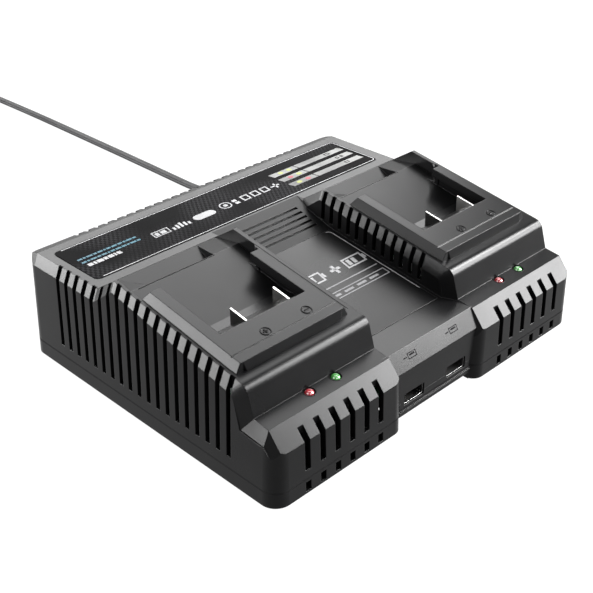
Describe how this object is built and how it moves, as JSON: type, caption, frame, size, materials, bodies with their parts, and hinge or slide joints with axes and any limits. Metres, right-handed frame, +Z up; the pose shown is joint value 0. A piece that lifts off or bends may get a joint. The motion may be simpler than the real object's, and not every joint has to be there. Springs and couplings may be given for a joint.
{
  "type": "dual battery charger",
  "caption": "Tabletop charger with two sloping slide-on battery bays, status lights, USB sockets, vented sides, a flat label deck and a mains cord with plug.",
  "frame": {"origin": "bottom centre of the case, on the surface that its feet stand on", "axes": "+X to the right, +Y from the front with the USB sockets to the rear with the cord, +Z up"},
  "size_m": [0.2092, 0.6226, 0.066],
  "materials": {
    "case_black": "satin textured moulding",
    "cradle_black": "satin moulding",
    "terminal_black": "matte moulding",
    "blade_metal": "plated",
    "red_lens": "translucent gloss",
    "green_lens": "translucent gloss",
    "panel_black": "satin, bare",
    "label": "printed film",
    "usb_steel": "plated",
    "usb_plastic": "matte",
    "board_green": "solder mask",
    "core_steel": "varnished laminations",
    "winding_tape": "yellow tape",
    "capacitor_sleeve": "shrink sleeve",
    "sink_aluminium": "extruded",
    "ferrite": "coated core",
    "fuse_glass": "clear",
    "clip_brass": "plated",
    "screw_steel": "zinc",
    "fan_plastic": "matte",
    "foot_rubber": "matte",
    "cord_pvc": "smooth sheath",
    "plug_pvc": "moulded",
    "pin_brass": "nickel plated"
  },
  "bodies": {
    "charger": {"board_screws": "screw_steel", "case_screws": "screw_steel", "centre_panel": "panel_black", "choke": "ferrite", "cord_clamp": "fan_plastic", "cord_coil": "cord_pvc", "fan_frame": "fan_plastic", "fan_screws": "screw_steel", "first_capacitor": "capacitor_sleeve", "front_left_foot": "foot_rubber", "front_right_foot": "foot_rubber", "fuse": "fuse_glass", "fuse_clips": "clip_brass", "inner_lead": "cord_pvc", "label_plate": "label", "left_cradle": "cradle_black", "left_green_light": "green_lens", "left_heat_sink": "sink_aluminium", "left_light_board": "board_green", "left_negative_blade": "blade_metal", "left_positive_blade": "blade_metal", "left_red_light": "red_lens", "left_terminal_block": "terminal_black", "left_usb_shell": "usb_steel", "left_usb_tongue": "usb_plastic", "lower_case": "case_black", "main_board": "board_green", "mains_cord": "cord_pvc", "plug_body": "plug_pvc", "plug_lead": "cord_pvc", "plug_pins": "pin_brass", "rear_left_foot": "foot_rubber", "rear_right_foot": "foot_rubber", "right_cradle": "cradle_black", "right_green_light": "green_lens", "right_heat_sink": "sink_aluminium", "right_light_board": "board_green", "right_negative_blade": "blade_metal", "right_positive_blade": "blade_metal", "right_red_light": "red_lens", "right_terminal_block": "terminal_black", "right_usb_shell": "usb_steel", "right_usb_tongue": "usb_plastic", "second_capacitor": "capacitor_sleeve", "strain_relief": "cord_pvc", "transformer_core": "core_steel", "transformer_winding": "winding_tape", "upper_case": "case_black", "usb_board": "board_green"},
    "fan_rotor": {"fan_rotor": "fan_plastic"}
  },
  "joints": [
    {"name": "fan_spin", "type": "hinge", "parent": "charger", "child": "fan_rotor", "pos_m": [0, 0.066, 0.027], "axis": [0, 1, 0], "continuous": true}
  ]
}
